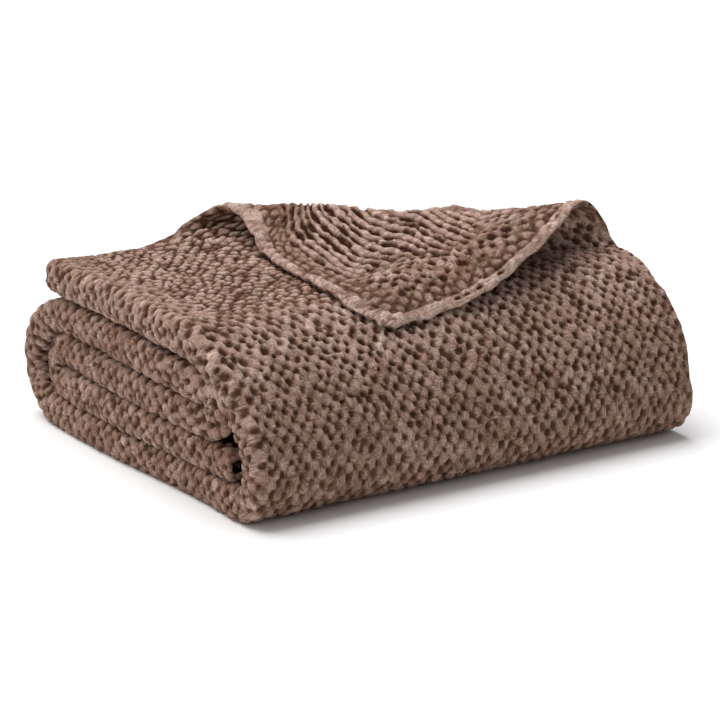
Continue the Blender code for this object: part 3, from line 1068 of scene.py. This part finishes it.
@dataclass(frozen=True)
class WaffleCotton:
    """Soft mauve-brown cotton, fuzzy all over, with painted highlights on the knobs and painted shade in the
    pits.
    """

    # The pit colour is painted shade deep in the pits; the last, lightest colour is a painted highlight on
    # the knobs and the hem.
    pit: Triple = (0.030, 0.0100, 0.0055)
    body: Triple = (0.172, 0.093, 0.062)
    knob: Triple = (0.404, 0.268, 0.222)
    painted_highlight: Triple = (0.500, 0.352, 0.300)
    tones: tuple[float, float, float, float] = (0.04, 0.46, 0.88, 1.0)
    faded: Triple = (0.86, 1.0, 0.90)
    fade_scale: float = 55.0
    fade_range: Span = (0.48, 0.72)
    fade_most: float = 0.55
    roughness: float = 0.95
    sheen: float = 0.06
    sheen_tint: Triple = (0.62, 0.40, 0.32)
    sheen_roughness: float = 0.6
    specular: float = 0.04
    yarns: tuple[Span, ...] = ((620.0, 190.0), (190.0, 620.0))
    strand_roughness: float = 0.60
    strand_distortion: float = 0.8
    turn_scale: float = 130.0
    turn_range: Span = (0.46, 0.54)
    mottle_range: Span = (0.34, 0.66)
    mottle: Span = (0.50, 1.55)
    relief_depth: float = 0.0016
    yarn_depth: float = 0.0024
    yarn_strength: float = 0.75

    def make(self, name: str) -> Material:
        """The material.

        Args:
            name: The material's name.

        Returns:
            The new material.
        """
        shader = Shader(name)
        tone = shader.add("Attribute", attribute_name="relief").outputs["Fac"]
        place = shader.add("Attribute", attribute_name="flat_place").outputs["Vector"]
        # The ramp paints shade and highlight by the tone: dark in the pits, light on the knobs and the hem.
        ramp = shader.add("ValToRGB", Fac=tone)
        stops = ramp.color_ramp.elements
        stops[0].position = self.tones[0]
        stops[1].position = self.tones[3]
        stops.new(self.tones[1])
        stops.new(self.tones[2])
        for stop, colour in zip(stops, (self.pit, self.body, self.knob, self.painted_highlight)):
            stop.color = (*colour, 1)
        colour = ramp.outputs["Color"]
        faded = shader.mix("MULTIPLY", 1.0, colour, (*self.faded, 1))
        blotch = shader.add("TexNoise", Vector=place, Scale=self.fade_scale, Detail=3.0)
        share = shader.stretch(blotch.outputs["Fac"], self.fade_range, (0.0, self.fade_most))
        colour = shader.mix("MIX", share, colour, faded)
        # Short strands run either way over the cloth, patch by patch.
        either = {}
        look = {"Roughness": self.strand_roughness, "Distortion": self.strand_distortion}
        for side, stretch in zip("AB", self.yarns):
            laid = shader.add("Mapping", Vector=place, Scale=(*stretch, 1.0)).outputs["Vector"]
            strands = shader.add("TexNoise", Vector=laid, Scale=1.0, Detail=3.0, **look)
            either[side] = strands.outputs["Fac"]
        turn = shader.add("TexNoise", Vector=place, Scale=self.turn_scale, Detail=1.0)
        turned = shader.stretch(turn.outputs["Fac"], self.turn_range)
        yarn = shader.add("Mix", Factor=turned, **either).outputs["Result"]
        colour = shader.mix("MULTIPLY", 1.0, colour, shader.stretch(yarn, self.mottle_range, self.mottle))
        deep = shader.add("Bump", Strength=1.0, Distance=self.relief_depth, Height=tone)
        fuzz = shader.add(
            "Bump",
            Strength=self.yarn_strength,
            Distance=self.yarn_depth,
            Height=yarn,
            Normal=deep.outputs["Normal"],
        )
        return shader.finish(
            Roughness=self.roughness,
            Sheen_Weight=self.sheen,
            Sheen_Tint=(*self.sheen_tint, 1),
            Sheen_Roughness=self.sheen_roughness,
            Specular_IOR_Level=self.specular,
            Base_Color=colour,
            Normal=fuzz.outputs["Normal"],
        )


@dataclass
class FoldedBlanket:
    """The whole blanket, in the stretches of cloth that show and a plain sheet for what lies inside."""

    fold: Fold = field(default_factory=Fold)
    finish: WaffleCotton = WaffleCotton()
    hem_reach: float = 0.040
    corner_reach: float = 0.330
    groove_reach: float = 0.020
    layer_reach: float = 0.345
    far_reach: float = 0.025
    inner_inset: float = 0.004
    inner_steps: Span = (0.020, 0.0024)
    inner_rows: int = 220
    inner_tone: float = 0.35

    def zones(self) -> list[Zone]:
        """Parts the cloth into stretches, each with the face that shows.

        Returns:
            The stretches.
        """
        fold = self.fold
        nose, fourth = fold.folds["nose"], fold.folds["fourth"]
        far_fold, third = fold.folds["far fold"], fold.folds["third"]
        top, wrap, base, back = fold.breaks[1:5]
        hem, corner, layer = self.hem_reach, self.corner_reach, self.layer_reach
        far = (far_fold - self.far_reach, third + self.far_reach)
        whole, width, length = math.inf, fold.width, fold.length
        return [
            Zone("turned_corner", (0, corner / 2), (0, top), turn_in=whole),
            Zone("turned_edge", (corner / 2, corner), (0, top), turn_in=whole),
            Zone("top_near", (corner, nose), (0, top)),
            Zone("front_hem", (0, hem), (top, wrap), turn_in=hem),
            Zone("front_wrap", (hem, nose), (top, wrap)),
            Zone("near_folds", (nose, fourth + self.groove_reach), (0, length)),
            Zone("second_layer", (width - layer, width), (0, layer), Face.REVERSE, hem, 2, 2),
            Zone("underside", (hem, nose), (wrap, base), Face.RIGHT, 0, 3, 3),
            Zone("back_wrap", (hem, nose), (base, back), Face.RIGHT, 0, 2, 1),
            Zone("far_hem", (0, hem), (wrap, length), Face.RIGHT, hem, 2, 2),
            Zone("second_hem", (width - hem, width), (layer, length), Face.REVERSE, hem, 2, 2),
            Zone("far_folds", far, (0, length), Face.RIGHT, 0, 2, 2),
            Zone("back_hems", (fourth, width - layer), (0, hem), Face.RIGHT, hem, 2, 2),
        ]

    def inner(self, finish: Material) -> Object:
        """A sheet down the middle of the cloth, which closes what the shown stretches leave open.

        Args:
            finish: Its material.

        Returns:
            The new object.
        """
        fold, inset = self.fold, self.inner_inset
        names = ("nose", "fourth", "far fold", "third", "inner fold", "second")
        edges = [self.corner_reach, *(fold.folds[name] for name in names), fold.width - inset]
        runs = []
        for k, (start, end) in enumerate(zip(edges, edges[1:])):
            count = round((end - start) / self.inner_steps[k % 2]) + 1
            runs.append(np.linspace(start, end, count)[:-1])
        u, v = np.meshgrid(
            np.concatenate([*runs, edges[-1:]]), np.linspace(inset, fold.length - inset, self.inner_rows)
        )
        place = np.column_stack((u.ravel(), v.ravel(), np.zeros(u.size)))
        tone = np.full(u.size, self.inner_tone)
        points = fold.surface(u, v).reshape(-1, 3)
        return make_mesh("inner_layers", points, grid_quads(u.shape).reshape(-1, 4), tone, place, finish)

    def build(self) -> list[Object]:
        """Makes and places every piece.

        Returns:
            The pieces.
        """
        finish = self.finish.make("waffle_cotton_soft")
        builder = ClothBuilder(BlanketCloth(self.fold), finish)
        sheets = []
        for zone in self.zones():
            flat = (zone.across[1] - zone.across[0], zone.along[1] - zone.along[0])
            sheets.append((builder.build(zone), flat))
        sheets.append((self.inner(finish), (self.fold.width - self.corner_reach, self.fold.length)))
        for piece, flat in sheets:
            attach(piece, "root")
            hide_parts("blanket")
        return [piece for piece, _ in sheets]


@dataclass(frozen=True)
class Studio:
    """The pale floor, the soft lights and the camera."""

    azimuth: float = -33.58
    elevation: float = 16.636
    distance: float = 3.0
    target: Triple = (0.0, 0.0, 0.08)
    lens: float = 170.27
    sensor: float = 36.0
    shift: Span = (0.0035, -0.0330)
    light_from: Triple = (-0.10, 0.34, 0.93)
    light_strength: float = 3.15
    light_softness: float = 0.95
    fill_from: Triple = (-0.95, -0.10, 0.28)
    fill_strength: float = 0.60
    fill_softness: float = 1.2
    surroundings: float = 0.325
    floor_reach: float = 9.0
    floor_tone: float = 0.94
    floor_roughness: float = 0.9

    def floor(self) -> None:
        """A wide pale floor."""
        mesh = bpy.data.meshes.new("floor")
        reach = self.floor_reach
        corners = [(-reach, -reach, 0), (reach, -reach, 0), (reach, reach, 0), (-reach, reach, 0)]
        mesh.from_pydata(corners, [], [(0, 1, 2, 3)])
        colour = (self.floor_tone, self.floor_tone, self.floor_tone, 1)
        pale = Shader("floor_pale").finish(Base_Color=colour, Roughness=self.floor_roughness)
        mesh.materials.append(pale)
        floor = bpy.data.objects.new("floor", mesh)
        bpy.context.scene.collection.objects.link(floor)

    def light(self) -> None:
        """A broad soft light from above and behind, and a weak one on the near end."""
        for name, place, strength, softness in (
            ("soft_light", self.light_from, self.light_strength, self.light_softness),
            ("fill_light", self.fill_from, self.fill_strength, self.fill_softness),
        ):
            data = bpy.data.lights.new(name, "SUN")
            data.energy = strength
            data.angle = softness
            lamp = bpy.data.objects.new(name, data)
            lamp.rotation_euler = Vector(place).to_track_quat("Z", "Y").to_euler()
            bpy.context.scene.collection.objects.link(lamp)

    def camera(self) -> None:
        """The camera at the photograph's place."""
        a, e = math.radians(self.azimuth), math.radians(self.elevation)
        back = Vector((math.sin(a) * math.cos(e), -math.cos(a) * math.cos(e), math.sin(e)))
        data = bpy.data.cameras.new("camera")
        data.lens = self.lens
        data.sensor_width = self.sensor
        data.shift_x, data.shift_y = self.shift
        camera = bpy.data.objects.new("camera", data)
        camera.location = Vector(self.target) + back * self.distance
        camera.rotation_euler = (-back).to_track_quat("-Z", "Y").to_euler()
        bpy.context.scene.collection.objects.link(camera)
        bpy.context.scene.camera = camera

    def build(self) -> None:
        """Makes the whole studio."""
        self.floor()
        self.light()
        world = bpy.data.worlds.new("studio")
        world.use_nodes = True
        world.node_tree.nodes["Background"].inputs["Color"].default_value = (1.0, 1.0, 1.0, 1)
        world.node_tree.nodes["Background"].inputs["Strength"].default_value = self.surroundings
        bpy.context.scene.world = world
        bpy.context.scene.view_settings.view_transform = "Standard"
        self.camera()


def main() -> None:
    """Builds the studio and the blanket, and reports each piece."""
    logging.basicConfig(level=logging.INFO, format="%(message)s")
    Studio().build()
    for piece in FoldedBlanket().build():
        LOG.info("%s: %d faces", piece.name, len(piece.data.polygons))


if __name__ == "__main__":
    main()
